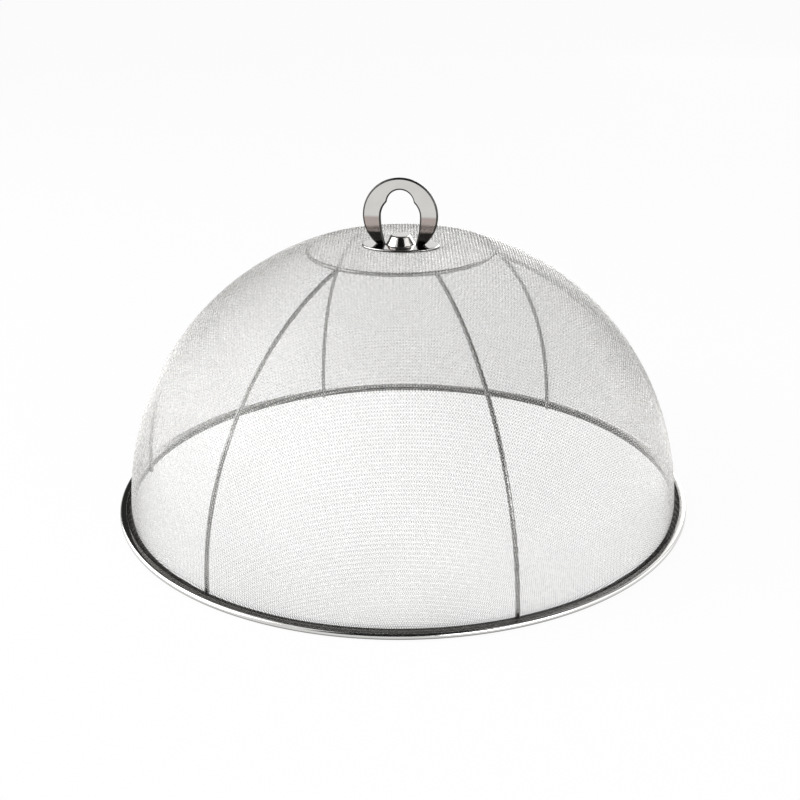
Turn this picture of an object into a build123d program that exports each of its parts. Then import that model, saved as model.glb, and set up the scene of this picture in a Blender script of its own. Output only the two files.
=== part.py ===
from build123d import *
import math
import os

# Mesh food cover, in millimetres: a wire-cloth dome on a wire frame, with a rolled rim and a ring handle.
# The origin is on the table under the middle of the dome, Z is up, and X runs along the handle plate.

# Overall shape
cover_radius = 175.0  # outermost point of the rolled rim
crown_height = 157.1  # top of the flat crown above the table
crown_radius = 54.8  # where the dome turns into the flat crown
wall_lean = 1.5  # degrees inward from upright at the foot of the dome

# Woven wire cloth, which is two wires thick where the wires cross
cloth_wire = 0.2

# Grid of openings that stands for the weave, far coarser
grid_bar = 10.3  # width of an upright bar at the foot of the dome
bay_columns = 4  # openings from one rib to the next
bay_rows = 5  # openings from the hem bend up to the crease
crown_columns = 2  # openings from one rib to the next, in the flat crown
crown_margin = 2.5  # whole cloth left round the handle's base and inside the crease

# Frame wires
rib_count = 6
rib_wire = 2.5
crown_wire = 2.5

# Rim, a sheet channel rolled over the turned-out hem of the cloth
rim_height = 3.7
rim_sheet = 0.5
rim_lip = 1.0  # how far the lip reaches in over the hem from the middle of the roll
rim_foot = 4.0  # width of the flat underside that stands on the table
hem_width = 5.9  # from the foot of the dome out to the middle of the roll
hem_bend = 1.2  # inside radius of the bend from the wall to the hem

# Ring plate of the handle: heights are above its feet
plate_thickness = 2.5
plate_radius = 22.1
plate_rise = 16.9
plate_edge = 0.6  # rounding of the polished edges
finger_radius = 11.5  # lower, wide lobe of the opening
finger_rise = 16.3
thumb_radius = 7.95  # upper, narrow lobe of the opening
thumb_rise = 23.95
lobe_blend = 1.0  # rounding where the two lobes meet
foot_gap = 17.8  # clear width between the two feet
tenon_width = 2.4

# Oval base of the handle, with a hollow boss
base_length = 45.6
base_width = 30.0
base_thickness = 1.2
base_edge = 0.7
boss_radius = 8.2
boss_top_radius = 6.2
boss_height = 5.6
boss_wall = 0.9
boss_blend = 0.8

# Fastening from inside the dome
screw_radius = 2.0
head_radius = 4.0
head_height = 2.6
head_round = 1.2
recess_length = 4.4
recess_width = 0.9
recess_depth = 1.3
nut_flats = 7.0
nut_height = 3.2
spring_radius = 3.8
spring_thickness = 0.9
spring_split = 0.8
clamp_radius = 10.0
clamp_thickness = 1.0

# Clearances
seat_gap = 0.05  # between pieces that sit on each other
slot_gap = 0.1  # all round a tenon in its slot
thread_gap = 0.025  # between the screw and the nut
screw_gap = 0.3  # between the screw and the holes it passes through

# Levels, radii and angles that follow from the sizes above
cloth_thickness = 2 * cloth_wire
bay_angle = 360 / rib_count
crown_under = crown_height - cloth_thickness
roll_radius = rim_height / 2
roll_center = cover_radius - roll_radius
hem_top = rim_height - rim_sheet - seat_gap
hem_under = hem_top - cloth_thickness
ring_bottom = rim_sheet + seat_gap
ring_top = hem_under - seat_gap
screw_hole = screw_radius + screw_gap

# The dome's arc starts at the hem bend, leans in by wall_lean and ends at the crease of the crown
lean = math.radians(wall_lean)
outward = Vector(math.cos(lean), math.sin(lean))
bend_radius = hem_bend + cloth_thickness
dome_foot = Vector(roll_center - hem_width, hem_under + bend_radius * (1 - math.sin(lean)))
crease = Vector(crown_radius, crown_under)
span = crease - dome_foot
dome_radius = -span.dot(span) / (2 * span.dot(outward))
dome_center = dome_foot - outward * dome_radius
bend_center = dome_foot + outward * bend_radius

# Share of the grid that is bar, and share that is open
bar_share = grid_bar * bay_columns / (math.radians(bay_angle) * dome_foot.X)
open_share = 1 - bar_share


def dome_point(radius, height):
    # Distance from the Z axis of the point at this height on a circle round the dome's centre.
    return dome_center.X + math.sqrt(radius**2 - (height - dome_center.Y) ** 2)


def dome_angle(radius, height):
    # Angle of that point above the dome's centre, in degrees.
    return math.degrees(math.asin((height - dome_center.Y) / radius))


def turned(outline, angle=360):
    # Solid of revolution round Z from a closed outline of radius and height.
    return revolve(Plane.XZ * make_face(outline), Axis.Z, angle)


def openings(outline, columns):
    # Cutters for one bay from an outline of radius and height, with half a bar left over at each rib.
    step = bay_angle / columns
    cutter = turned(outline, step * open_share)
    return [Rot(0, 0, step * (column + bar_share / 2)) * cutter for column in range(columns)]


def washer(outer, inner, top, thickness):
    disc = Cylinder(outer, thickness) - Cylinder(inner, thickness)
    return Pos(0, 0, top - thickness / 2) * disc


# Wire cloth from one rib to the next: flat crown, dome, bend and hem, with a hole for the screw
outer_radius = dome_radius + cloth_thickness
outer_crease = Vector(dome_point(outer_radius, crown_height), crown_height)
cloth_bay = turned(
    [
        Line((screw_hole, crown_under), crease),
        CenterArc(dome_center, dome_radius, wall_lean, dome_angle(dome_radius, crown_under) - wall_lean),
        CenterArc(bend_center, bend_radius, 180 + wall_lean, 90 - wall_lean),
        Polyline(
            (bend_center.X, hem_under),
            (roll_center, hem_under),
            (roll_center, hem_top),
            (bend_center.X, hem_top),
        ),
        CenterArc(bend_center, hem_bend, 180 + wall_lean, 90 - wall_lean),
        CenterArc(dome_center, outer_radius, wall_lean, dome_angle(outer_radius, crown_height) - wall_lean),
        Polyline(outer_crease, (screw_hole, crown_height), (screw_hole, crown_under)),
    ],
    bay_angle,
)

# Rows of openings up the dome, one ring of them in the crown, and the bays joined to the whole cloth
row_step = (dome_angle(dome_radius, crown_under) - wall_lean) / bay_rows
for row in range(bay_rows):
    row_start = wall_lean + row_step * (row + bar_share / 2)
    inside = CenterArc(dome_center, dome_radius - cloth_thickness, row_start, row_step * open_share)
    outside = CenterArc(dome_center, outer_radius + cloth_thickness, row_start, row_step * open_share)
    row_outline = [inside, Line(inside @ 1, outside @ 1), outside, Line(outside @ 0, inside @ 0)]
    cloth_bay -= openings(row_outline, bay_columns)
crown_outline = Polyline(
    (base_length / 2 + crown_margin, crown_under - cloth_thickness),
    (crown_radius - crown_margin, crown_under - cloth_thickness),
    (crown_radius - crown_margin, crown_height + cloth_thickness),
    (base_length / 2 + crown_margin, crown_height + cloth_thickness),
    close=True,
)
cloth_bay -= openings(crown_outline, crown_columns)
mesh_dome = Part() + [Rot(0, 0, bay_angle * number) * cloth_bay for number in range(rib_count)]

# Rolled rim: flat foot, half-round roll and a lip that holds the hem down
rim_roll = turned(
    [
        Line((roll_center - rim_foot, 0), (roll_center, 0)),
        CenterArc((roll_center, roll_radius), roll_radius, -90, 180),
        Polyline(
            (roll_center, rim_height),
            (roll_center - rim_lip, rim_height),
            (roll_center - rim_lip, rim_height - rim_sheet),
            (roll_center, rim_height - rim_sheet),
        ),
        CenterArc((roll_center, roll_radius), roll_radius - rim_sheet, -90, 180),
        Polyline(
            (roll_center, rim_sheet),
            (roll_center - rim_foot, rim_sheet),
            (roll_center - rim_foot, 0),
        ),
    ]
)

# Flat ring under the hem, which the ribs are welded to
ring_inner = dome_center.X + dome_radius
base_ring = turned(
    Polyline(
        (ring_inner, ring_bottom),
        (roll_center, ring_bottom),
        (roll_center, ring_top),
        (ring_inner, ring_top),
        close=True,
    )
)

# Wire hoop tucked into the crease between the crown and the dome
crown_level = crown_under - seat_gap - crown_wire / 2
crown_hoop = dome_point(dome_radius - seat_gap - crown_wire / 2, crown_level)
crown_ring = Pos(0, 0, crown_level) * Torus(crown_hoop, crown_wire / 2)

# Rib wire along the inside of the dome, its top end coped to sit on the hoop
rib_path = dome_radius - seat_gap - rib_wire / 2
rib_start = dome_angle(rib_path, ring_bottom)
rib_end = math.degrees(math.atan2(crown_level - dome_center.Y, crown_hoop - dome_center.X))
rib_axis = Axis((dome_center.X, 0, dome_center.Y), (0, -1, 0))
rib_section = Pos(dome_center.X + rib_path, 0, dome_center.Y) * Circle(rib_wire / 2)
rib = revolve(rib_section.rotate(rib_axis, rib_start), rib_axis, rib_end - rib_start)
rib -= Pos(0, 0, crown_level) * Torus(crown_hoop, crown_wire / 2 + seat_gap)

# Oval base with the hollow boss, slotted for the tenons
base_bottom = crown_height + seat_gap
base_top = base_bottom + base_thickness
boss_top = base_top + boss_height
boss_roof = boss_top - boss_wall
feet = base_top + seat_gap
foot_outer = math.sqrt(plate_radius**2 - plate_rise**2)
tenon_place = (foot_gap / 2 + foot_outer) / 2

handle_base = Pos(0, 0, base_bottom) * extrude(Ellipse(base_length / 2, base_width / 2), base_thickness)
handle_base = fillet(handle_base.faces().sort_by(Axis.Z)[-1].edges(), base_edge)
handle_base += Pos(0, 0, base_top + boss_height / 2) * Cone(boss_radius, boss_top_radius, boss_height)
boss_edges = handle_base.edges().filter_by(GeomType.CIRCLE).sort_by(Axis.Z)
handle_base = fillet(boss_edges[-2:], boss_blend)
cavity_height = boss_roof - base_bottom
cavity = Cone(boss_radius - boss_wall, boss_top_radius - boss_wall, cavity_height)
handle_base -= Pos(0, 0, base_bottom + cavity_height / 2) * cavity
for side in (-1, 1):
    slot = Box(tenon_width + 2 * slot_gap, plate_thickness + 2 * slot_gap, 3 * base_thickness)
    handle_base -= Pos(side * tenon_place, 0, base_bottom) * slot

# Ring plate: a disc cut off at the feet, with a two-lobed opening, drawn as width and height
finger_center = feet + finger_rise
finger_lobe = make_face(
    [
        CenterArc((0, finger_center), finger_radius, 0, 180),
        TangentArc((finger_radius, finger_center), (foot_gap / 2, feet), tangent=(0, -1)),
        Line((foot_gap / 2, feet), (-foot_gap / 2, feet)),
        TangentArc((-finger_radius, finger_center), (-foot_gap / 2, feet), tangent=(0, -1)),
    ]
)
opening = finger_lobe + Pos(0, feet + thumb_rise) * Circle(thumb_radius)
lobe_corners = opening.vertices().sort_by(Axis.Y)[-2:]
opening = fillet(lobe_corners, lobe_blend)
plate_height = plate_rise + plate_radius
plate = Pos(0, feet + plate_rise) * Circle(plate_radius)
plate &= Pos(0, feet + plate_height / 2) * Rectangle(2 * plate_radius, plate_height)
handle_ring = extrude(Plane.XZ * (plate - opening), plate_thickness / 2, both=True)
flat_faces = handle_ring.faces().sort_by(Axis.Y)
rims = flat_faces[0].edges() + flat_faces[-1].edges()
handle_ring = fillet([edge for edge in rims if edge.center().Z > feet + plate_edge], plate_edge)
tenon_length = feet - base_bottom
for side in (-1, 1):
    tenon = Box(tenon_width, plate_thickness, tenon_length)
    handle_ring += Pos(side * tenon_place, 0, base_bottom + tenon_length / 2) * tenon

# Nut welded under the roof of the boss
nut_top = boss_roof - seat_gap
nut_blank = extrude(RegularPolygon(nut_flats / 2, 6, major_radius=False), nut_height)
nut_blank -= Cylinder(screw_radius + thread_gap, 3 * nut_height)
boss_nut = Pos(0, 0, nut_top - nut_height) * nut_blank

# Washers and screw, stacked down from the underside of the crown
clamp_top = crown_under - seat_gap
clamp_washer = washer(clamp_radius, screw_hole, clamp_top, clamp_thickness)
spring_top = clamp_top - clamp_thickness - seat_gap
spring_washer = washer(spring_radius, screw_hole, spring_top, spring_thickness)
spring_washer -= Pos(spring_radius, 0, spring_top) * Box(2 * spring_radius, spring_split, 3 * spring_thickness)
head_top = spring_top - spring_thickness - seat_gap
head_bottom = head_top - head_height
screw_length = nut_top - head_top
handle_screw = Pos(0, 0, head_bottom + head_height / 2) * Cylinder(head_radius, head_height)
handle_screw = fillet(handle_screw.edges().sort_by(Axis.Z)[0], head_round)
handle_screw += Pos(0, 0, head_top + screw_length / 2) * Cylinder(screw_radius, screw_length)
for turn in (0, 90):
    arm = Box(recess_length, recess_width, 2 * recess_depth)
    handle_screw -= Pos(0, 0, head_bottom) * Rot(0, 0, turn) * arm

nodes = {
    "mesh_dome": mesh_dome,
    "rim_roll": rim_roll,
    "base_ring": base_ring,
    "crown_ring": crown_ring,
    "handle_base": handle_base,
    "handle_ring": handle_ring,
    "boss_nut": boss_nut,
    "clamp_washer": clamp_washer,
    "spring_washer": spring_washer,
    "handle_screw": handle_screw,
}
for number in range(rib_count):
    nodes[f"rib_{number + 1}"] = Rot(0, 0, bay_angle * number) * rib

os.makedirs("parts", exist_ok=True)
for name, solid in nodes.items():
    export_step(solid, os.path.join("parts", f"{name}.step"))
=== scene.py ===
import math

import bmesh
import bpy
import numpy as np
from mathutils import Matrix, Vector


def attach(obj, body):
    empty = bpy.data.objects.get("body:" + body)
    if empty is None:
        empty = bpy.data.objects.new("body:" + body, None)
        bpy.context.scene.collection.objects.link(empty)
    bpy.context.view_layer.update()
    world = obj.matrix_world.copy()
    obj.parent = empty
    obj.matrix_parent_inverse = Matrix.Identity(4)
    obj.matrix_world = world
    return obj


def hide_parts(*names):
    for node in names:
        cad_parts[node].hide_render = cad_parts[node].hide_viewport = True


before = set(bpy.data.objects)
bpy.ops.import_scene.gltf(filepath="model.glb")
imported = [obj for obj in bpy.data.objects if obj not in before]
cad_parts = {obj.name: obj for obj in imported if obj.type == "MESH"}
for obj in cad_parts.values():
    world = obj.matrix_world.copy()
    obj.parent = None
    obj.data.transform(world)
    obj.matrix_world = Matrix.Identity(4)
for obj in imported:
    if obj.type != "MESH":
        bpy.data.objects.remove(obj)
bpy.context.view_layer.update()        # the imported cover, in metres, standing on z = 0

scene = bpy.context.scene
mm = 0.001
print("solids loaded:", len(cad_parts))


# small helpers for node trees and pieces

def addNode(tree, kind, inputs=None, **settings):
    node = tree.nodes.new(kind)
    for key, value in settings.items():
        setattr(node, key, value)
    for socket, value in (inputs or {}).items():
        if isinstance(value, bpy.types.NodeSocket):
            tree.links.new(value, node.inputs[socket])
        else:
            node.inputs[socket].default_value = value
    return node


def openTree(name, sizes):
    kinds = {float: "NodeSocketFloat", int: "NodeSocketInt", bpy.types.Material: "NodeSocketMaterial"}
    tree = bpy.data.node_groups.new(name, "GeometryNodeTree")
    tree.interface.new_socket("Geometry", in_out="INPUT", socket_type="NodeSocketGeometry")
    for label, value in sizes.items():
        tree.interface.new_socket(label, in_out="INPUT", socket_type=kinds[type(value)])
    tree.interface.new_socket("Geometry", in_out="OUTPUT", socket_type="NodeSocketGeometry")
    return tree, tree.nodes.new("NodeGroupInput"), tree.nodes.new("NodeGroupOutput")


def closeTree(tree, geometry, material, end):
    whole = addNode(tree, "GeometryNodeRealizeInstances", {"Geometry": geometry})
    dressed = addNode(tree, "GeometryNodeSetMaterial", {"Geometry": whole.outputs[0], "Material": material})
    tree.links.new(dressed.outputs[0], end.inputs[0])


def growMesh(name, seed, tree, sizes):
    carrier = bpy.data.objects.new(name + "Seed", seed)
    scene.collection.objects.link(carrier)
    modifier = carrier.modifiers.new("grow", "NODES")
    modifier.node_group = tree
    for item in tree.interface.items_tree:
        if item.in_out == "INPUT" and item.name in sizes:
            modifier[item.identifier] = sizes[item.name]
    seen = bpy.context.evaluated_depsgraph_get()
    mesh = bpy.data.meshes.new_from_object(carrier.evaluated_get(seen))
    mesh.name = name
    bpy.data.objects.remove(carrier)
    return mesh


def meshFrom(name, points, faces, materials, wearing=None, sharp=40, merge=1e-7):
    # wearing: which of the materials each face has, sharp: degrees, merge: points closer than this are one
    mesh = bpy.data.meshes.new(name)
    mesh.from_pydata([tuple(p) for p in points], [], faces)
    for material in materials:
        mesh.materials.append(material)
    if wearing is not None:
        mesh.polygons.foreach_set("material_index", wearing)
    tidy = bmesh.new()
    tidy.from_mesh(mesh)
    bmesh.ops.remove_doubles(tidy, verts=tidy.verts, dist=merge)
    bmesh.ops.recalc_face_normals(tidy, faces=tidy.faces)
    tidy.to_mesh(mesh)
    tidy.free()
    mesh.shade_smooth()
    mesh.set_sharp_from_angle(angle=math.radians(sharp))
    return mesh


def setPiece(name, mesh, nodes):
    piece = bpy.data.objects.new(name, mesh)
    scene.collection.objects.link(piece)
    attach(piece, "root")
    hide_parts(*nodes)


def turnedMesh(name, outline, steps, materials):
    # closed outline of (radius, height), turned round Z
    count = len(outline)
    turn = np.linspace(0, 2 * math.pi, steps, endpoint=False)
    radius, height = np.array(outline).T
    points = np.stack([
        np.outer(np.cos(turn), radius), np.outer(np.sin(turn), radius), np.tile(height, (steps, 1)),
    ], -1).reshape(-1, 3)
    faces = []
    for i in range(steps):
        a, b = i * count, (i + 1) % steps * count
        faces += [(a + k, b + k, b + (k + 1) % count, a + (k + 1) % count) for k in range(count)]
    return meshFrom(name, points, faces, materials)


def ringFaces(rows, count, capped=False):
    # quads between closed rings of points that follow each other
    faces = [
        (i * count + k, i * count + (k + 1) % count, (i + 1) * count + (k + 1) % count, (i + 1) * count + k)
        for i in range(rows - 1) for k in range(count)]
    if capped:
        faces += [tuple(range(count)), tuple(range((rows - 1) * count, rows * count))]
    return faces


def arcPoints(centre, radius, start, end, steps):
    turn = np.radians(np.linspace(start, end, steps))
    return [(centre[0] + radius * math.cos(a), centre[1] + radius * math.sin(a)) for a in turn]


# main sizes of the cover, and the arc of the dome that follows from them

cover = {
    "radius": 175.0 * mm,        # outermost point of the rolled rim
    "crown": 157.1 * mm, "crownRadius": 54.8 * mm,
    "lean": 1.5,                 # degrees inward at the foot of the dome
    "hemWidth": 5.9 * mm, "hemBend": 1.2 * mm,
    "rimHeight": 3.7 * mm, "rimSheet": 0.5 * mm,
    "clothWire": 0.2 * mm, "frameWire": 2.5 * mm,
    "seat": 0.05 * mm,           # between pieces that sit on each other
}
clothThick = 2 * cover["clothWire"]
crownUnder = cover["crown"] - clothThick
rollMiddle = cover["radius"] - cover["rimHeight"] / 2
hemUnder = cover["rimHeight"] - cover["rimSheet"] - cover["seat"] - clothThick
ringBottom = cover["rimSheet"] + cover["seat"]
footAngle = math.radians(cover["lean"])
outOfFoot = Vector((math.cos(footAngle), math.sin(footAngle)))
bendUnder = cover["hemBend"] + clothThick
foot = Vector((rollMiddle - cover["hemWidth"], hemUnder + bendUnder * (1 - math.sin(footAngle))))
span = Vector((cover["crownRadius"], crownUnder)) - foot
domeRadius = -span.dot(span) / (2 * span.dot(outOfFoot))  # inside of the cloth
domeCentre = foot - outOfFoot * domeRadius
bendCentre = foot + outOfFoot * bendUnder
wirePath = domeRadius - cover["seat"] - cover["frameWire"] / 2  # where the frame wires lie under the cloth
hoopLevel = crownUnder - cover["seat"] - cover["frameWire"] / 2
hoopAngle = math.asin((hoopLevel - domeCentre[1]) / wirePath)
print("dome radius:", round(domeRadius / mm, 2), "mm")


# steel finishes, on Object coordinates; the cloth's also read how its wires are lifted, for painted glints

steel = {
    "patchDetail": 4.0, "patchSoft": 0.6, "patchEdges": (0.3, 0.7),  # clouds of the two tones
    "grainDetail": 5.0, "grainEdges": (0.3, 0.75),  # fine scratches
    "ridge": 0.02 * mm,          # height of the scratches
}
wovenTones = {
    "glintShade": (0.36, 0.355, 0.345),  # painted shade on one half of each crossing, for glints on the bends
    "glintRise": (15 * mm, 100 * mm),     # from the foot up to where the painted glint contrast is full
    "glintRiseShare": (0.3, 1.0),         # how far the two sides of a crossing differ at those heights
    # painted shade on the cloth low in the rim, below these heights
    "hem": (0.06, 0.057, 0.053), "hemHeights": (4.0 * mm, 5.2 * mm),
}


def steelFinish(name, dark, light, rough, patch, grain, bump=0.0, metal=1.0):
    # dark and light: the two tones, rough: lowest and highest
    # patch: scale of the tones' clouds, grain: scale of the scratches
    material = bpy.data.materials.new(name)
    material.use_nodes = True
    tree = material.node_tree
    shader = tree.nodes["Principled BSDF"]
    shader.inputs["Metallic"].default_value = metal
    place = addNode(tree, "ShaderNodeTexCoord").outputs["Object"]
    cloud = addNode(tree, "ShaderNodeTexNoise", {
        "Vector": place, "Scale": patch, "Detail": steel["patchDetail"], "Roughness": steel["patchSoft"],
    })
    tone = addNode(tree, "ShaderNodeValToRGB", {"Fac": cloud.outputs["Fac"]})
    for stop, edge, colour in zip(tone.color_ramp.elements, steel["patchEdges"], (dark, light)):
        stop.position, stop.color = edge, (*colour, 1)
    tree.links.new(tone.outputs["Color"], shader.inputs["Base Color"])
    drawn = addNode(tree, "ShaderNodeMapping", {"Vector": place, "Scale": grain})
    scratch = addNode(tree, "ShaderNodeTexNoise", {
        "Vector": drawn.outputs[0], "Scale": 1.0, "Detail": steel["grainDetail"],
    })
    fine, coarse = steel["grainEdges"]
    dull = addNode(tree, "ShaderNodeMapRange", {
        "Value": scratch.outputs["Fac"], "From Min": fine, "From Max": coarse,
        "To Min": rough[0], "To Max": rough[1],
    })
    tree.links.new(dull.outputs[0], shader.inputs["Roughness"])
    if bump:
        ridge = addNode(tree, "ShaderNodeBump", {
            "Height": scratch.outputs["Fac"], "Strength": bump, "Distance": steel["ridge"],
        })
        tree.links.new(ridge.outputs[0], shader.inputs["Normal"])
    return material


def overTone(material, value, low, high, tone):
    # another tone where the value is low, the finish's own where it is high
    tree = material.node_tree
    shader = tree.nodes["Principled BSDF"]
    plain = shader.inputs["Base Color"].links[0].from_socket
    share = addNode(tree, "ShaderNodeMapRange", {"Value": value, "From Min": low, "From Max": high})
    mixed = addNode(tree, "ShaderNodeMix", {0: share.outputs[0], 6: (*tone, 1), 7: plain}, data_type="RGBA")
    tree.links.new(mixed.outputs[2], shader.inputs["Base Color"])  # 6, 7 and 2 are the colour sockets


def heightOf(tree):
    place = addNode(tree, "ShaderNodeTexCoord").outputs["Object"]
    return addNode(tree, "ShaderNodeSeparateXYZ", {"Vector": place}).outputs["Z"]


def byHeight(material, low, high, tone):
    overTone(material, heightOf(material.node_tree), low, high, tone)


def clothFinish(name, over):
    # painted glints and shade: one set of wires is painted bright where it passes over, the other where it
    # dips under, more so higher up; the hem is painted dark as shade
    material = steelFinish(
        name, dark=(0.90, 0.895, 0.88), light=(0.98, 0.975, 0.96), rough=(0.22, 0.34),
        patch=25, grain=(500, 500, 500), metal=0.6)
    tree = material.node_tree
    lift = addNode(tree, "ShaderNodeAttribute", attribute_name="lift").outputs["Fac"]
    (low, high), (least, most) = wovenTones["glintRise"], wovenTones["glintRiseShare"]
    glintRise = addNode(tree, "ShaderNodeMapRange", {
        "Value": heightOf(tree), "From Min": low, "From Max": high, "To Min": least, "To Max": most,
    })
    # painted glint: the tone follows over and under, stronger higher up
    shine = addNode(tree, "ShaderNodeMath", {0: lift, 1: glintRise.outputs[0]}, operation="MULTIPLY")
    overTone(material, shine.outputs[0], -over, over, wovenTones["glintShade"])
    # painted shade on the cloth's foot in the rim
    byHeight(material, *wovenTones["hemHeights"], wovenTones["hem"])
    return material


mirrorSteel = steelFinish(
    "mirrorSteel", dark=(0.56, 0.545, 0.53), light=(0.63, 0.615, 0.60), rough=(0.05, 0.13),
    patch=60, grain=(900, 900, 60), bump=0.05)
ringSteel = steelFinish(
    "ringSteel", dark=(0.58, 0.57, 0.55), light=(0.65, 0.64, 0.62), rough=(0.05, 0.12),
    patch=60, grain=(900, 900, 60), bump=0.05)
byHeight(ringSteel, 174.0 * mm, 175.5 * mm, (0.40, 0.345, 0.32))  # painted reflection, warm brown low on the legs
byHeight(ringSteel, 165.2 * mm, 166.4 * mm, (0.035, 0.033, 0.031))  # painted reflection, near black at the feet
# near-black rounded edges of the plate and the base: painted shade and dark reflection
paintedDarkEdge = steelFinish(
    "paintedDarkEdge", dark=(0.03, 0.03, 0.029), light=(0.07, 0.069, 0.067), rough=(0.28, 0.45),
    patch=300, grain=(2500, 300, 2500), bump=0.2)
rimSteel = steelFinish(
    "rimSteel", dark=(0.60, 0.595, 0.58), light=(0.68, 0.675, 0.66), rough=(0.10, 0.22),
    patch=40, grain=(300, 300, 2200), bump=0.08)
byHeight(rimSteel, 3.66 * mm, 3.5 * mm, (0.13, 0.127, 0.122))  # painted dark reflection on the flat lip on top
byHeight(rimSteel, 1.2 * mm, 1.8 * mm, (0.22, 0.218, 0.214))  # painted shade low on the roll, where it turns towards the table
drawnWire = steelFinish(
    "drawnWire", dark=(0.18, 0.178, 0.176), light=(0.27, 0.267, 0.263), rough=(0.10, 0.18),
    patch=120, grain=(1400, 1400, 90), bump=0.1)
# near-black flat ring under the cloth: painted shade in the rim channel
paintedShadeRing = steelFinish(
    "paintedShadeRing", dark=(0.02, 0.02, 0.019), light=(0.06, 0.058, 0.055), rough=(0.35, 0.55),
    patch=150, grain=(900, 900, 900), bump=0.15)
clothWarp, clothWeft = clothFinish("clothWarp", 1.0), clothFinish("clothWeft", -1.0)
platedSteel = steelFinish(
    "platedSteel", dark=(0.50, 0.50, 0.47), light=(0.62, 0.62, 0.60), rough=(0.22, 0.36),
    patch=220, grain=(1200, 1200, 300), bump=0.1)
print("finishes made")


# camera, fitted to the picture's rim, hoop, handle and ribs

view = {
    "focal": 1235.7, "width": 800,  # of the lens and of the picture, pixels
    "distance": 0.7044, "height": 0.3432,  # from the axis of the dome and above the table
    "pitch": 22.007, "yaw": 9.349, "roll": 0.499,  # degrees
    "middle": (-2.0, -2.34),     # picture centre from the optical axis, right and down, pixels
    "sensor": 36.0, "clip": (0.01, 50.0),
}


def placeCamera():
    yaw, pitch, roll = (math.radians(view[key]) for key in ("yaw", "pitch", "roll"))
    ahead = Vector((-math.sin(yaw) * math.cos(pitch), math.cos(yaw) * math.cos(pitch), -math.sin(pitch)))
    right = Vector((math.cos(yaw), math.sin(yaw), 0))
    up = right.cross(ahead)
    right, up = right * math.cos(roll) - up * math.sin(roll), right * math.sin(roll) + up * math.cos(roll)
    across, down = view["middle"]
    ahead = (ahead + right * (across / view["focal"]) - up * (down / view["focal"])).normalized()
    right = (right - ahead * right.dot(ahead)).normalized()
    up = right.cross(ahead)
    data = bpy.data.cameras.new("pictureCamera")
    data.sensor_width = view["sensor"]
    data.lens = view["sensor"] * view["focal"] / view["width"]
    data.clip_start, data.clip_end = view["clip"]
    camera = bpy.data.objects.new("pictureCamera", data)
    scene.collection.objects.link(camera)
    turned = Matrix((right, up, -ahead)).transposed().to_4x4()
    spot = Vector((view["distance"] * math.sin(yaw), -view["distance"] * math.cos(yaw), view["height"]))
    camera.matrix_world = Matrix.Translation(spot) @ turned
    scene.camera = camera


placeCamera()
print("camera placed")


# woven wire cloth: the wires keep one spacing and shear over the dome, as a draped trellis does

cloth = {
    "pitch": 1.27 * mm,          # wire to wire, 20 to the inch
    "sides": 3,
    "roundness": 1.2,            # a three-sided wire is drawn wider, to cover as much as a round one
    "turn": 54.35,               # degrees from X to the first weave direction
    "bands": 5,                  # pieces in each weave direction
    "hole": 2.4 * mm,            # round the screw
    "tries": 8,                  # Newton steps to each crossing
    "mostTurn": 0.02,            # radians in one such step
    "slack": 0.02,               # share of the pitch by which a crossing may miss
    "shortest": 3,               # crossings that a wire needs to be kept
}
bigRadius = domeRadius + cover["clothWire"]  # both to the middle of the cloth
smallRadius = cover["hemBend"] + cover["clothWire"]
crownLevel = cover["crown"] - cover["clothWire"]
topAngle = math.asin((crownLevel - domeCentre[1]) / bigRadius)
creaseRun = domeCentre[0] + bigRadius * math.cos(topAngle)
footRun = creaseRun + bigRadius * (topAngle - footAngle)
bendRun = footRun + smallRadius * (math.pi / 2 - footAngle)
hemRun = bendRun + rollMiddle - bendCentre[0]


def clothProfile(run):
    # radius, height and the two slopes at a distance from the middle of the crown, along the cloth
    dome = topAngle - (run - creaseRun) / bigRadius
    bend = math.pi + footAngle + (run - footRun) / smallRadius
    zero, one = 0 * run, 0 * run + 1
    zones = [run < creaseRun, run < footRun, run < bendRun]
    (domeR, domeZ), (bendR, bendZ) = domeCentre, bendCentre
    radius = np.select(
        zones, [run, domeR + bigRadius * np.cos(dome), bendR + smallRadius * np.cos(bend)],
        bendR + run - bendRun)
    height = np.select(
        zones, [crownLevel * one, domeZ + bigRadius * np.sin(dome), bendZ + smallRadius * np.sin(bend)],
        (bendZ - smallRadius) * one)
    slopeR = np.select(zones, [one, np.sin(dome), -np.sin(bend)], one)
    slopeZ = np.select(zones, [zero, -np.cos(dome), np.cos(bend)], zero)
    return radius, height, slopeR, slopeZ


def clothPoint(run, turn):
    radius, height, slopeR, slopeZ = clothProfile(run)
    c, s = np.cos(turn), np.sin(turn)
    point = np.stack([radius * c, radius * s, height], -1)
    downhill = np.stack([slopeR * c, slopeR * s, slopeZ], -1)
    around = np.stack([-radius * s, radius * c, 0 * radius], -1)
    outward = np.stack([-slopeZ * c, -slopeZ * s, slopeR], -1)
    return point, downhill, around, outward


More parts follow.
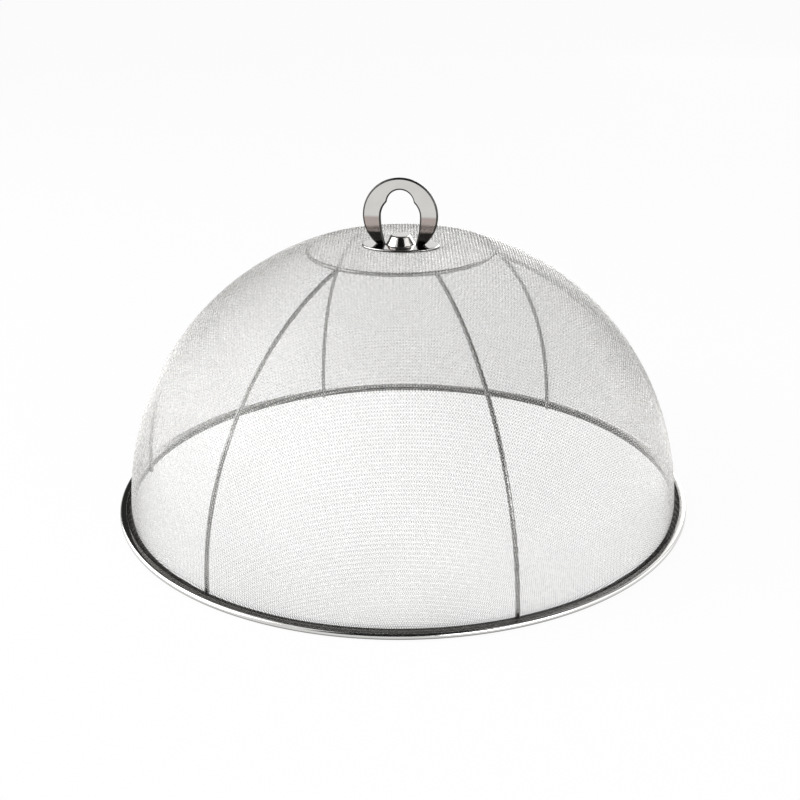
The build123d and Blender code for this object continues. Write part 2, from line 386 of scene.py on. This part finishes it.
def quarterNet(pitch):
    # each crossing is one pitch from the two crossings before it, found by Newton steps on the dome
    tiny, mostTurn = 1e-15, cloth["mostTurn"]
    count = int(hemRun / pitch) + 3  # a few more than reach the edge
    run, turn = np.full((count, count), np.nan), np.full((count, count), np.nan)
    run[:, 0] = run[0, :] = np.arange(count) * pitch
    turn[:, 0], turn[0, :] = 0, math.pi / 2
    for rank in range(2, 2 * count - 1):
        i = np.arange(max(1, rank - count + 1), min(rank, count))
        j = rank - i
        known = ~np.isnan(run[i - 1, j] + run[i, j - 1] + run[i - 1, j - 1])
        i, j = i[known], j[known]
        if not len(i):
            break
        left, below, behind = (
            clothPoint(run[a, b], turn[a, b])[0] for a, b in ((i - 1, j), (i, j - 1), (i - 1, j - 1)))
        guess = left + below - behind
        r = run[i - 1, j] + run[i, j - 1] - run[i - 1, j - 1]
        t = np.arctan2(guess[:, 1], guess[:, 0])
        for step in range(cloth["tries"]):
            point, downhill, around = clothPoint(r, t)[:3]
            toLeft, toBelow = point - left, point - below
            missLeft = ((toLeft ** 2).sum(-1) - pitch ** 2) / 2
            missBelow = ((toBelow ** 2).sum(-1) - pitch ** 2) / 2
            a, b = (toLeft * downhill).sum(-1), (toLeft * around).sum(-1)
            c, d = (toBelow * downhill).sum(-1), (toBelow * around).sum(-1)
            whole = a * d - b * c
            whole = np.where(abs(whole) < tiny, tiny, whole)
            r = r - np.clip((missLeft * d - missBelow * b) / whole, -pitch / 2, pitch / 2)
            t = t - np.clip((a * missBelow - c * missLeft) / whole, -mostTurn, mostTurn)
        reached = abs(np.linalg.norm(clothPoint(r, t)[0] - left, axis=1) - pitch) < cloth["slack"] * pitch
        reached &= r < hemRun + 2 * pitch  # a little past the edge
        run[i[reached], j[reached]], turn[i[reached], j[reached]] = r[reached], t[reached]
    return run, turn


def wholeNet(pitch):
    # four quarters round the axis
    run, turn = quarterNet(pitch)
    count = len(run)
    fullRun, fullTurn = (np.full((2 * count - 1, 2 * count - 1), np.nan) for k in range(2))
    i, j = np.meshgrid(np.arange(count), np.arange(count), indexing="ij")
    for quarter in range(4):
        fullRun[i + count - 1, j + count - 1] = run
        fullTurn[i + count - 1, j + count - 1] = turn + quarter * math.pi / 2
        i, j = -j, i
    return fullRun, fullTurn + math.radians(cloth["turn"])


def wireRuns(run, turn, side):
    # every wire of one direction as a list of crossings: points, outward directions, over or under
    woven = (run >= cloth["hole"]) & (run <= hemRun)
    wires = []
    for column in range(run.shape[1]):
        inside = np.flatnonzero(woven[:, column])
        if len(inside) < cloth["shortest"]:
            continue
        for part in np.split(inside, np.flatnonzero(np.diff(inside) > 1) + 1):
            if len(part) < cloth["shortest"]:
                continue
            point, _, _, outward = clothPoint(run[part, column], turn[part, column])
            wires.append((point, outward, side * np.where((part + column) % 2, -1.0, 1.0)))
    return wires


def wireSeed(name, wires):
    # plain edges along the wires, with what the tree needs to bend them over and under
    lengths = [len(w[0]) for w in wires]
    points, outward, lift = (np.concatenate([w[k] for w in wires]) for k in range(3))
    ends = np.cumsum(lengths) - 1
    first = np.setdiff1d(np.arange(len(points) - 1), ends)
    seed = bpy.data.meshes.new(name)
    seed.vertices.add(len(points))
    seed.vertices.foreach_set("co", points.ravel())
    seed.edges.add(len(first))
    seed.edges.foreach_set("vertices", np.stack([first, first + 1], -1).ravel())
    seed.attributes.new("outward", "FLOAT_VECTOR", "POINT").data.foreach_set("vector", outward.ravel())
    seed.attributes.new("lift", "FLOAT", "POINT").data.foreach_set("value", lift)
    seed.update()
    return seed


def weaveTree(sizes):
    tree, start, end = openTree("clothWeave", sizes)
    outward = addNode(tree, "GeometryNodeInputNamedAttribute", {"Name": "outward"}, data_type="FLOAT_VECTOR")
    lift = addNode(tree, "GeometryNodeInputNamedAttribute", {"Name": "lift"}, data_type="FLOAT")
    rise = addNode(tree, "ShaderNodeMath", {
        0: lift.outputs[0], 1: start.outputs["Crimp"],
    }, operation="MULTIPLY")
    shift = addNode(tree, "ShaderNodeVectorMath", {
        0: outward.outputs[0], "Scale": rise.outputs[0],
    }, operation="SCALE")
    bent = addNode(tree, "GeometryNodeSetPosition", {
        "Geometry": start.outputs[0], "Offset": shift.outputs[0],
    })
    lines = addNode(tree, "GeometryNodeMeshToCurve", {"Mesh": bent.outputs[0]})
    section = addNode(tree, "GeometryNodeCurvePrimitiveCircle", {
        "Resolution": start.outputs["Sides"], "Radius": start.outputs["Wire Radius"],
    })
    wire = addNode(tree, "GeometryNodeCurveToMesh", {
        "Curve": lines.outputs[0], "Profile Curve": section.outputs[0], "Fill Caps": True,
    })
    steep = addNode(tree, "ShaderNodeMath", {0: lift.outputs[0]}, operation="ABSOLUTE")
    crossing = addNode(tree, "FunctionNodeCompare", {
        "A": steep.outputs[0], "B": 0.5,
    }, operation="GREATER_THAN")  # rings round the wire; the edges along it stay smooth
    creased = addNode(tree, "GeometryNodeSetShadeSmooth", {
        "Geometry": wire.outputs[0], "Selection": crossing.outputs[0], "Shade Smooth": False,
    }, domain="EDGE")            # round wires that bend at every crossing
    closeTree(tree, creased.outputs[0], start.outputs["Steel"], end)
    return tree


def weaveCloth():
    run, turn = wholeNet(cloth["pitch"])
    sizes = {
        "Wire Radius": cover["clothWire"] / 2 * cloth["roundness"], "Crimp": cover["clothWire"] / 2,
        "Sides": cloth["sides"], "Steel": clothWarp,
    }
    tree = weaveTree(sizes)
    faces = 0
    families = (
        ("warp", clothWarp, wireRuns(run, turn, 1)),
        ("weft", clothWeft, wireRuns(run.T, turn.T, -1)),
    )
    for family, finish, wires in families:
        reach = np.cumsum([len(w[0]) for w in wires])
        band = np.minimum(reach * cloth["bands"] // (reach[-1] + 1), cloth["bands"] - 1)
        for number in range(cloth["bands"]):
            name = f"cloth_{family}_{number + 1}"
            seed = wireSeed(name, [w for w, b in zip(wires, band) if b == number])
            mesh = growMesh(name, seed, tree, {**sizes, "Steel": finish})
            mesh.attributes.remove(mesh.attributes["outward"])
            setPiece(name, mesh, ["mesh_dome"])
            faces += len(mesh.polygons)
    print("cloth woven:", np.count_nonzero(run <= hemRun), "crossings,", faces, "faces")


weaveCloth()


# ribs: one bent wire each, with a weld bead at the hoop and at the base ring

rib = {
    "count": 6,
    "steps": 72, "sides": 14,
    "bead": 1.55 * mm, "beadSplits": 3,
    "beadIn": 0.35 * mm,         # the beads lie to the inside of the wire
    "lump": 0.9 * mm, "lumpScale": 900.0, "lumpDetail": 2.0,  # uneven skin of the beads
}


def ribTree(sizes):
    tree, start, end = openTree("ribWire", sizes)
    path = addNode(tree, "GeometryNodeCurveArc", {
        "Resolution": start.outputs["Steps"], "Radius": start.outputs["Path Radius"],
        "Start Angle": start.outputs["Start"], "Sweep Angle": start.outputs["Sweep"],
    }, mode="RADIUS")
    section = addNode(tree, "GeometryNodeCurvePrimitiveCircle", {
        "Resolution": start.outputs["Sides"], "Radius": start.outputs["Wire Radius"],
    })
    wire = addNode(tree, "GeometryNodeCurveToMesh", {
        "Curve": path.outputs[0], "Profile Curve": section.outputs[0], "Fill Caps": True,
    })
    tips = addNode(tree, "GeometryNodeCurveEndpointSelection", {"Start Size": 1, "End Size": 1})
    spots = addNode(tree, "GeometryNodeCurveToPoints", {"Curve": path.outputs[0]}, mode="EVALUATED")
    beadBall = addNode(tree, "GeometryNodeMeshIcoSphere", {
        "Radius": start.outputs["Bead"], "Subdivisions": start.outputs["Bead Splits"],
    })
    lumps = addNode(tree, "ShaderNodeTexNoise", {
        "Scale": start.outputs["Lump Scale"], "Detail": start.outputs["Lump Detail"],
    })
    even = addNode(tree, "ShaderNodeVectorMath", {
        0: lumps.outputs["Color"], 1: (0.5, 0.5, 0.5),
    }, operation="SUBTRACT")     # as far in as out
    small = addNode(tree, "ShaderNodeVectorMath", {
        0: even.outputs[0], "Scale": start.outputs["Lump"],
    }, operation="SCALE")
    place = addNode(tree, "GeometryNodeInputPosition")
    outward = addNode(tree, "ShaderNodeVectorMath", {0: place.outputs[0]}, operation="NORMALIZE")
    back = addNode(tree, "ShaderNodeMath", {0: start.outputs["Bead In"], 1: -1.0}, operation="MULTIPLY")
    shift = addNode(tree, "ShaderNodeVectorMath", {
        0: outward.outputs[0], "Scale": back.outputs[0],
    }, operation="SCALE")
    beads = addNode(tree, "GeometryNodeInstanceOnPoints", {
        "Points": spots.outputs[0], "Selection": tips.outputs[0], "Instance": beadBall.outputs[0],
    })
    solid = addNode(tree, "GeometryNodeRealizeInstances", {"Geometry": beads.outputs[0]})
    sunk = addNode(tree, "GeometryNodeSetPosition", {
        "Geometry": solid.outputs[0], "Offset": shift.outputs[0],
    })
    rough = addNode(tree, "GeometryNodeSetPosition", {
        "Geometry": sunk.outputs[0], "Offset": small.outputs[0],
    })
    both = addNode(tree, "GeometryNodeJoinGeometry")
    tree.links.new(wire.outputs[0], both.inputs[0])
    tree.links.new(rough.outputs[0], both.inputs[0])
    centre = addNode(tree, "ShaderNodeCombineXYZ", {
        "X": start.outputs["Centre Out"], "Z": start.outputs["Centre Up"],
    })
    stand = addNode(tree, "GeometryNodeTransform", {
        "Geometry": both.outputs[0], "Rotation": (math.pi / 2, 0, 0), "Translation": centre.outputs[0],
    })
    angle = addNode(tree, "ShaderNodeCombineXYZ", {"Z": start.outputs["Turn"]})
    around = addNode(tree, "GeometryNodeTransform", {
        "Geometry": stand.outputs[0], "Rotation": angle.outputs[0],
    })
    smooth = addNode(tree, "GeometryNodeSetShadeSmooth", {"Geometry": around.outputs[0]})
    closeTree(tree, smooth.outputs[0], start.outputs["Steel"], end)
    return tree


def bendRibs():
    start = math.asin((ringBottom - domeCentre[1]) / wirePath)
    sizes = {
        "Path Radius": wirePath, "Start": start, "Sweep": hoopAngle - start, "Turn": 0.0,
        "Centre Out": domeCentre[0], "Centre Up": domeCentre[1],
        "Wire Radius": cover["frameWire"] / 2, "Steps": rib["steps"], "Sides": rib["sides"],
        "Bead": rib["bead"], "Bead In": rib["beadIn"], "Bead Splits": rib["beadSplits"],
        "Lump": rib["lump"], "Lump Scale": rib["lumpScale"], "Lump Detail": rib["lumpDetail"],
        "Steel": drawnWire,
    }
    tree = ribTree(sizes)
    for number in range(rib["count"]):
        sizes["Turn"] = math.radians(360 / rib["count"] * number)
        name = f"rib_wire_{number + 1}"
        mesh = growMesh(name, bpy.data.meshes.new(name), tree, sizes)
        setPiece(name, mesh, [f"rib_{number + 1}"])
    print("ribs bent:", rib["count"])


bendRibs()


# hoop under the crown, flat ring in the rim, and the rolled rim itself

hoop = {"steps": 192, "sides": 16}
flatRing = {"edge": 0.25 * mm, "steps": 256}
roll = {"lip": 2.4 * mm, "foot": 4.0 * mm, "arcSteps": 15, "endSteps": 7, "steps": 320}


def makeHoop():
    middle = (domeCentre[0] + wirePath * math.cos(hoopAngle), hoopLevel)
    outline = arcPoints(middle, cover["frameWire"] / 2, 0, 360, hoop["sides"] + 1)[:-1]
    mesh = turnedMesh("crown_hoop", outline, hoop["steps"], [drawnWire])
    setPiece("crown_hoop", mesh, ["crown_ring"])


def roundedBar(low, high, edge, steps=4):
    # rounded rectangle as (radius, height) points
    corners = ((high[0], high[1], 0), (low[0], high[1], 90), (low[0], low[1], 180), (high[0], low[1], 270))
    outline = []
    for r, z, start in corners:
        centre = (r - edge if r == high[0] else r + edge, z - edge if z == high[1] else z + edge)
        outline += arcPoints(centre, edge, start, start + 90, steps)
    return outline


def makeFlatRing():
    low, high = (domeCentre[0] + domeRadius, ringBottom), (rollMiddle, hemUnder - cover["seat"])
    mesh = turnedMesh("hem_ring", roundedBar(low, high, flatRing["edge"]), flatRing["steps"], [paintedShadeRing])
    setPiece("hem_ring", mesh, ["base_ring"])


def makeRoll():
    radius, half = cover["rimHeight"] / 2, cover["rimSheet"] / 2
    middle = (rollMiddle, radius)
    lipEnd = (rollMiddle - roll["lip"] + half, cover["rimHeight"] - half)
    footEnd = (rollMiddle - roll["foot"] + half, half)
    outline = arcPoints(middle, radius, -90, 90, roll["arcSteps"])
    outline += arcPoints(lipEnd, half, 90, 270, roll["endSteps"])
    outline += arcPoints(middle, radius - cover["rimSheet"], 90, -90, roll["arcSteps"])
    outline += arcPoints(footEnd, half, 90, 270, roll["endSteps"])
    mesh = turnedMesh("rim_band", outline, roll["steps"], [rimSteel])
    setPiece("rim_band", mesh, ["rim_roll"])


makeHoop()
makeFlatRing()
makeRoll()
print("hoop and rim turned")


# handle, in millimetres: ring plate with a pear-shaped opening, standing on an oval base with a boss

base = {
    "length": 45.6, "width": 30.0, "thickness": 1.2, "edge": 0.7,
    "bossRadius": 8.5, "bossTop": 5.7, "bossHeight": 5.6, "wall": 0.9,
    "round": 1.5, "flare": 1.2,  # radius at the boss's top and at its foot
    "collar": 0.6,               # flat strip round the foot of the boss
    "between": (0.0, 0.3, 0.65),  # shares of the way from there to the oval edge
    "steps": 160, "edgeSteps": 6, "roundSteps": 6, "flareSteps": 10,
    "sharp": 50,                 # degrees
    "bottom": (cover["crown"] + cover["seat"]) / mm,
}
plate = {
    "thickness": 2.5, "edge": 1.0,
    "hold": 0.1,                 # strip inside the rounded edge that keeps the face flat
    "radius": 22.1, "rise": 16.9,
    "finger": (11.5, 16.3), "thumb": (7.95, 23.95),  # the two lobes: radius and height above the feet
    "gap": 17.8,                 # between the feet
    "blend": 0.45,               # softens the corner between the two lobes
    "blendReach": 3, "blendZone": 4,  # in blends: how far it averages, and how far from the corner it acts
    "steps": 150, "edgeSteps": 5, "arcSteps": 200, "evenSteps": 1200,
    "sharp": 50,                 # degrees
    "feet": base["bottom"] + base["thickness"] + cover["seat"] / mm,
}


def openingHalf():
    # right half of the opening from the foot to its top, as polar angle and distance from the plate's middle
    feet = plate["feet"]
    fingerR, fingerZ = plate["finger"][0], feet + plate["finger"][1]
    thumbR, thumbZ = plate["thumb"][0], feet + plate["thumb"][1]
    half = plate["gap"] / 2
    inset = fingerR - half
    sideR = (inset ** 2 + plate["finger"][1] ** 2) / (2 * inset)
    low = math.degrees(math.asin(plate["finger"][1] / sideR))
    apart = thumbZ - fingerZ
    meetZ = (apart ** 2 + fingerR ** 2 - thumbR ** 2) / (2 * apart)
    meetX = math.sqrt(fingerR ** 2 - meetZ ** 2)
    fingerEnd = math.degrees(math.atan2(meetZ, meetX))
    thumbStart = math.degrees(math.atan2(meetZ - apart, meetX))
    path = arcPoints((fingerR - sideR, fingerZ), sideR, -low, 0, plate["arcSteps"])
    path += arcPoints((0, fingerZ), fingerR, 0, fingerEnd, plate["arcSteps"])[1:]
    path += arcPoints((0, thumbZ), thumbR, thumbStart, 90, plate["arcSteps"])[1:]
    path = np.array(path)
    along = np.r_[0, np.cumsum(np.linalg.norm(np.diff(path, axis=0), axis=1))]
    even = np.linspace(0, along[-1], plate["evenSteps"])
    path = np.stack([np.interp(even, along, path[:, k]) for k in range(2)], -1)
    blend, zone = plate["blend"], plate["blendZone"] * plate["blend"]
    reach = int(plate["blendReach"] * blend / even[1])
    weight = np.exp(-0.5 * (np.arange(-reach, reach + 1) * even[1] / blend) ** 2)
    soft = np.stack([np.convolve(path[:, k], weight / weight.sum(), "same") for k in range(2)], -1)
    mix = np.exp(-((path - (meetX, fingerZ + meetZ)) ** 2).sum(1) / (2 * zone ** 2))[:, None]
    path = path * (1 - mix) + soft * mix  # the softened path near the corner only
    middle = feet + plate["rise"]
    return np.arctan2(path[:, 1] - middle, path[:, 0]), np.hypot(path[:, 0], path[:, 1] - middle)


def makeRingPlate():
    feet, half, edge = plate["feet"], plate["thickness"] / 2, plate["edge"]
    middle, inset = feet + plate["rise"], edge + plate["hold"]
    angle, distance = openingHalf()
    outerStart = -math.asin(plate["rise"] / plate["radius"])
    share = np.linspace(0, 1, plate["steps"])
    outerTurn = outerStart + share * (math.pi / 2 - outerStart)
    innerTurn = angle[0] + share * (math.pi / 2 - angle[0])
    reach = np.interp(innerTurn, angle, distance)
    outer = np.stack([plate["radius"] * np.cos(outerTurn), middle + plate["radius"] * np.sin(outerTurn)], -1)
    inner = np.stack([reach * np.cos(innerTurn), middle + reach * np.sin(innerTurn)], -1)
    inner[0, 1] = outer[0, 1] = feet
    inner[-1, 0] = outer[-1, 0] = 0
    flip = np.array([-1, 1])
    outer = np.concatenate([outer, outer[-2::-1] * flip])
    inner = np.concatenate([inner, inner[-2::-1] * flip])
    across = (inner - outer) / np.linalg.norm(inner - outer, axis=1)[:, None]
    quarter = np.radians(np.linspace(0, 90, plate["edgeSteps"]))
    corner = [(edge * (1 - math.cos(a)), -(half - edge) - edge * math.sin(a)) for a in quarter]
    section = [(0, step, depth) for step, depth in corner]  # end of the width, step in from it, depth
    section += [(0, inset, -half), (1, inset, -half)]
    section += [(1, step, depth) for step, depth in corner[::-1]]
    section += [(end, step, -depth) for end, step, depth in section[::-1]]
    lines = []                   # one along the plate for each point of the section
    for end, step, depth in section:
        flat = (inner - across * step) if end else (outer + across * step)
        lines.append(np.stack([flat[:, 0], np.full(len(flat), depth), flat[:, 1]], -1))
    points = np.stack(lines, 1).reshape(-1, 3) * mm
    rows, count = len(outer), len(section)
    edges = [int(section[k][2] != section[(k + 1) % count][2]) for k in range(count)]  # 0 on the two faces, 1 on the rounded edges, which are painted dark
    faces, wearing = ringFaces(rows, count, capped=True), edges * (rows - 1) + [1, 1]
    mesh = meshFrom("ring_plate", points, faces, [ringSteel, paintedDarkEdge], wearing, plate["sharp"])
    setPiece("ring_plate", mesh, ["handle_ring"])


def makeBase():
    top, edge, wall = base["bottom"] + base["thickness"], base["edge"], base["wall"]
    bossTop = top + base["bossHeight"]
    lean = math.degrees(math.atan2(base["bossRadius"] - base["bossTop"], base["bossHeight"]))
    soft, flare, halfTurn = base["round"], base["flare"], math.radians((90 - lean) / 2)
    topFillet = base["bossTop"] - soft * math.tan(halfTurn)
    footFillet = base["bossRadius"] + flare * math.tan(halfTurn)
    boss = [(0.0, bossTop), (topFillet / 2, bossTop)]
    boss += arcPoints((topFillet, bossTop - soft), soft, 90, lean, base["roundSteps"])
    boss += arcPoints((footFillet, top + flare), flare, 180 + lean, 270, base["flareSteps"])
    hollow = [(base["bossRadius"] - wall, base["bottom"])]
    hollow += [(base["bossTop"] - wall, bossTop - wall), (0.0, bossTop - wall)]
    reach, longHalf, wideHalf = footFillet + base["collar"], base["length"] / 2, base["width"] / 2
    turn = np.linspace(0, 2 * math.pi, base["steps"], endpoint=False)
    c, s = np.cos(turn), np.sin(turn)

    def roundRing(r, z):
        return np.stack([r * c, r * s, np.full_like(c, z)], -1)

    def ovalRing(stepOut, z, share=1.0):
        x = reach * c * (1 - share) + (longHalf + stepOut) * c * share
        y = reach * s * (1 - share) + (wideHalf + stepOut) * s * share
        return np.stack([x, y, np.full_like(c, z)], -1)

    rings = [roundRing(r, z) for r, z in boss]
    rings += [ovalRing(-edge, top, share) for share in base["between"]]
    quarter = np.radians(np.linspace(90, 0, base["edgeSteps"]))
    rings += [ovalRing(-edge * (1 - math.cos(a)), top - edge * (1 - math.sin(a))) for a in quarter]
    edgeEnd = len(rings)
    rings += [ovalRing(0, base["bottom"])] + [roundRing(r, z) for r, z in hollow]
    darkRows = np.zeros(len(rings) - 1, int)
    darkRows[edgeEnd - 2:edgeEnd] = 1  # painted shade and dark reflection on the lowest of the rounding and the side below it
    faces, wearing = ringFaces(len(rings), base["steps"]), np.repeat(darkRows, base["steps"]).tolist()
    points = np.concatenate(rings) * mm
    mesh = meshFrom("oval_base", points, faces, [mirrorSteel, paintedDarkEdge], wearing, base["sharp"])
    setPiece("oval_base", mesh, ["handle_base"])


makeRingPlate()
makeBase()
print("handle made")


# fastening from inside: wide washer, split washer and pan-head screw

fasten = {
    "hole": 2.3 * mm,            # radius of the washers' holes
    "wide": (10.0 * mm, 1.0 * mm), "split": (3.8 * mm, 0.9 * mm),  # radius and thickness
    "splitGap": 0.8 * mm,
    "head": (4.0 * mm, 2.6 * mm, 1.2 * mm),  # radius, height, rounding
    "shank": 2.0 * mm,           # radius
    "chamfer": 0.4 * mm, "nick": 0.1 * mm,  # at the shank's end and the head's edge
    "recess": (4.4 * mm, 0.9 * mm, 1.3 * mm),  # length, width and depth of the cross
    "taper": 0.7,                # how much of its width the cross keeps at the bottom
    "edge": 0.15 * mm, "edgeSteps": 3, "headSteps": 8, "steps": 96, "screwSteps": 48,
    "sharp": 40,                 # degrees
}
wideTop = crownUnder - cover["seat"]
splitTop = wideTop - fasten["wide"][1] - cover["seat"]
headTop = splitTop - fasten["split"][1] - cover["seat"]
shankTop = (base["bottom"] + base["thickness"] + base["bossHeight"] - base["wall"]) * mm - cover["seat"]


def washerOutline(top, radius, thickness):
    return roundedBar((fasten["hole"], top - thickness), (radius, top), fasten["edge"], fasten["edgeSteps"])


def makeWashers():
    outline = washerOutline(wideTop, *fasten["wide"])
    mesh = turnedMesh("wide_washer", outline, fasten["steps"], [platedSteel])
    setPiece("wide_washer", mesh, ["clamp_washer"])
    outline = washerOutline(splitTop, *fasten["split"])
    gap = fasten["splitGap"] / 2 / fasten["split"][0]
    turn = np.linspace(gap, 2 * math.pi - gap, fasten["steps"])
    points = [(r * math.cos(a), r * math.sin(a), z) for a in turn for r, z in outline]
    faces = ringFaces(len(turn), len(outline), capped=True)
    mesh = meshFrom("split_washer", points, faces, [platedSteel])
    setPiece("split_washer", mesh, ["spring_washer"])


def makeScrew():
    radius, height, soft = fasten["head"]
    shank, low, chamfer, nick = fasten["shank"], headTop - height, fasten["chamfer"], fasten["nick"]
    outline = [(0.0, low)] + arcPoints((radius - soft, low + soft), soft, -90, 0, fasten["headSteps"])
    outline += [(radius, headTop - nick), (radius - nick, headTop), (shank, headTop)]
    outline += [(shank, shankTop - chamfer), (shank - chamfer, shankTop), (0.0, shankTop)]
    mesh = turnedMesh("pan_screw", outline, fasten["screwSteps"], [platedSteel])
    length, width, depth = fasten["recess"]
    cutters = []
    body = bpy.data.objects.new("pan_screw_body", mesh)
    scene.collection.objects.link(body)
    for turn in (0, math.pi / 2):
        block = bmesh.new()
        bmesh.ops.create_cube(block, size=1)
        for v in block.verts:
            taper = 1 if v.co.z < 0 else fasten["taper"]
            v.co = Vector((v.co.x * length * taper, v.co.y * width * taper, low + v.co.z * 2 * depth))
        bmesh.ops.rotate(block, verts=block.verts, matrix=Matrix.Rotation(turn, 3, "Z"))
        data = bpy.data.meshes.new("recess")
        block.to_mesh(data)
        block.free()
        cutter = bpy.data.objects.new("recess", data)
        scene.collection.objects.link(cutter)
        cut = body.modifiers.new("recess", "BOOLEAN")
        cut.object, cut.operation, cut.solver = cutter, "DIFFERENCE", "EXACT"
        cutters.append(cutter)
    seen = bpy.context.evaluated_depsgraph_get()
    cutMesh = bpy.data.meshes.new_from_object(body.evaluated_get(seen))
    cutMesh.name = "pan_screw"
    for spare in cutters + [body]:
        bpy.data.objects.remove(spare)
    cutMesh.shade_smooth()
    cutMesh.set_sharp_from_angle(angle=math.radians(fasten["sharp"]))
    setPiece("pan_screw", cutMesh, ["handle_screw"])


makeWashers()
makeScrew()
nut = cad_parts["boss_nut"].data  # the nut keeps its own shape
nut.materials.clear()
nut.materials.append(platedSteel)
print("fastening made")


# plain studio: pale floor, white surroundings, two soft lamps, and cards that only the steel sees

studio = {
    "floor": (0.9, 0.9, 0.9), "floorSize": 30.0, "floorRough": 0.9, "floorGloss": 0.1,
    "floorShown": 0.93,          # share of plain white to the eye and the steel; the rest keeps the shadow
    "skyShown": 1.0, "skyLight": 0.52,
    "lampAim": (0, 0, 0.08),
    "lamps": {                   # place, width, height, watts
        "lampLeft": ((-1.54, -0.41, 0.82), 1.5, 1.5, 28.0),
        "lampRight": ((1.1, -1.05, 0.5), 1.3, 0.6, 13.0),
    },
    "cardSteps": (25, 13),       # points round and up
    "cards": {                   # distance, first and last angle from the front, low and high angle, tone
        "card_front": (2.4, -24.0, 50.0, 15.0, 84.0, (0.012, 0.012, 0.013)),
        "card_top": (2.3, 0.0, 360.0, 64.0, 90.0, (0.03, 0.03, 0.03)),
        "card_right": (2.5, 64.0, 124.0, 30.0, 70.0, (0.08, 0.08, 0.08)),
        "card_back": (2.5, 172.0, 238.0, 24.0, 66.0, (0.2, 0.2, 0.2)),
        "card_left": (2.5, -122.0, -90.0, 4.0, 30.0, (4.0, 4.0, 4.0)),
        "card_low": (2.5, 48.0, 126.0, -2.0, 30.0, (1.7, 1.7, 1.7)),
        "card_lobe": (2.45, 48.0, 100.0, 28.0, 42.0, (1.5, 1.5, 1.5)),
        "card_edge": (2.5, 148.0, 178.0, -2.0, 40.0, (6.0, 6.0, 6.0)),
        "card_side": (2.5, -164.0, -124.0, -2.0, 50.0, (0.08, 0.08, 0.08)),
    },
}


def lookAt(thing, target):
    thing.rotation_euler = (Vector(target) - thing.location).to_track_quat("-Z", "Y").to_euler()


def seenRay(tree):
    # 1 for rays from the eye and for those that a shiny or clear surface sends on
    ray = addNode(tree, "ShaderNodeLightPath")
    seen = addNode(tree, "ShaderNodeMath", {
        0: ray.outputs["Is Camera Ray"], 1: ray.outputs["Is Glossy Ray"],
    }, operation="MAXIMUM")
    return addNode(tree, "ShaderNodeMath", {
        0: seen.outputs[0], 1: ray.outputs["Is Transmission Ray"],
    }, operation="MAXIMUM").outputs[0]


def makeFloor():
    half = studio["floorSize"] / 2
    data = bpy.data.meshes.new("floor")
    corners = [(-half, -half, 0), (half, -half, 0), (half, half, 0), (-half, half, 0)]
    data.from_pydata(corners, [], [(0, 1, 2, 3)])
    paper = bpy.data.materials.new("paleFloor")
    paper.use_nodes = True
    tree = paper.node_tree
    shader = tree.nodes["Principled BSDF"]
    shader.inputs["Base Color"].default_value = (*studio["floor"], 1)
    shader.inputs["Roughness"].default_value = studio["floorRough"]
    shader.inputs["Specular IOR Level"].default_value = studio["floorGloss"]
    white = addNode(tree, "ShaderNodeEmission", {"Color": (1, 1, 1, 1), "Strength": 1.0})
    share = addNode(tree, "ShaderNodeMath", {0: seenRay(tree), 1: studio["floorShown"]}, operation="MULTIPLY")
    both = addNode(tree, "ShaderNodeMixShader", {
        0: share.outputs[0], 1: shader.outputs[0], 2: white.outputs[0],
    })
    tree.links.new(both.outputs[0], tree.nodes["Material Output"].inputs["Surface"])
    data.materials.append(paper)
    floor = bpy.data.objects.new("floor", data)
    scene.collection.objects.link(floor)


def steelOnly(name, points, faces, tone):
    # plain card that shows in the steel and nowhere else
    data = bpy.data.meshes.new(name)
    data.from_pydata(points, [], faces)
    card = bpy.data.materials.new(name)
    card.use_nodes = True
    tree = card.node_tree
    plain = addNode(tree, "ShaderNodeEmission", {"Color": (*tone, 1), "Strength": 1.0})
    tree.links.new(plain.outputs[0], tree.nodes["Material Output"].inputs["Surface"])
    data.materials.append(card)
    item = bpy.data.objects.new(name, data)
    scene.collection.objects.link(item)
    item.visible_camera = item.visible_diffuse = item.visible_shadow = item.visible_transmission = False


def makeCards():
    # each card is a patch of a wide sphere round the cover
    columns, rows = studio["cardSteps"]
    for name, (distance, first, last, low, high, tone) in studio["cards"].items():
        turns, tilts = np.radians(np.linspace(first, last, columns)), np.radians(np.linspace(low, high, rows))
        points = [
            (distance * cos * math.sin(a), -distance * cos * math.cos(a), distance * sin)
            for a in turns for cos, sin in zip(np.cos(tilts), np.sin(tilts))]
        faces = [(k, k + rows, k + rows + 1, k + 1) for k in range(len(points) - rows) if (k + 1) % rows]
        steelOnly(name, points, faces, tone)


def makeWorld():
    world = bpy.data.worlds.new("studio")
    scene.world = world
    world.use_nodes = True
    tree = world.node_tree
    tree.nodes.clear()
    level = addNode(tree, "ShaderNodeMapRange", {
        "Value": seenRay(tree), "To Min": studio["skyLight"], "To Max": studio["skyShown"],
    })
    sky = addNode(tree, "ShaderNodeBackground", {"Color": (1, 1, 1, 1), "Strength": level.outputs[0]})
    end = addNode(tree, "ShaderNodeOutputWorld")
    tree.links.new(sky.outputs[0], end.inputs["Surface"])


def makeLamps():
    for name, (place, width, height, watts) in studio["lamps"].items():
        data = bpy.data.lights.new(name, "AREA")
        data.shape, data.size, data.size_y, data.energy = "RECTANGLE", width, height, watts
        lamp = bpy.data.objects.new(name, data)
        scene.collection.objects.link(lamp)
        lamp.location = place
        lookAt(lamp, studio["lampAim"])
        lamp.visible_camera = False


makeFloor()
makeCards()
makeWorld()
makeLamps()
scene.view_settings.view_transform = "Standard"
print("studio set")
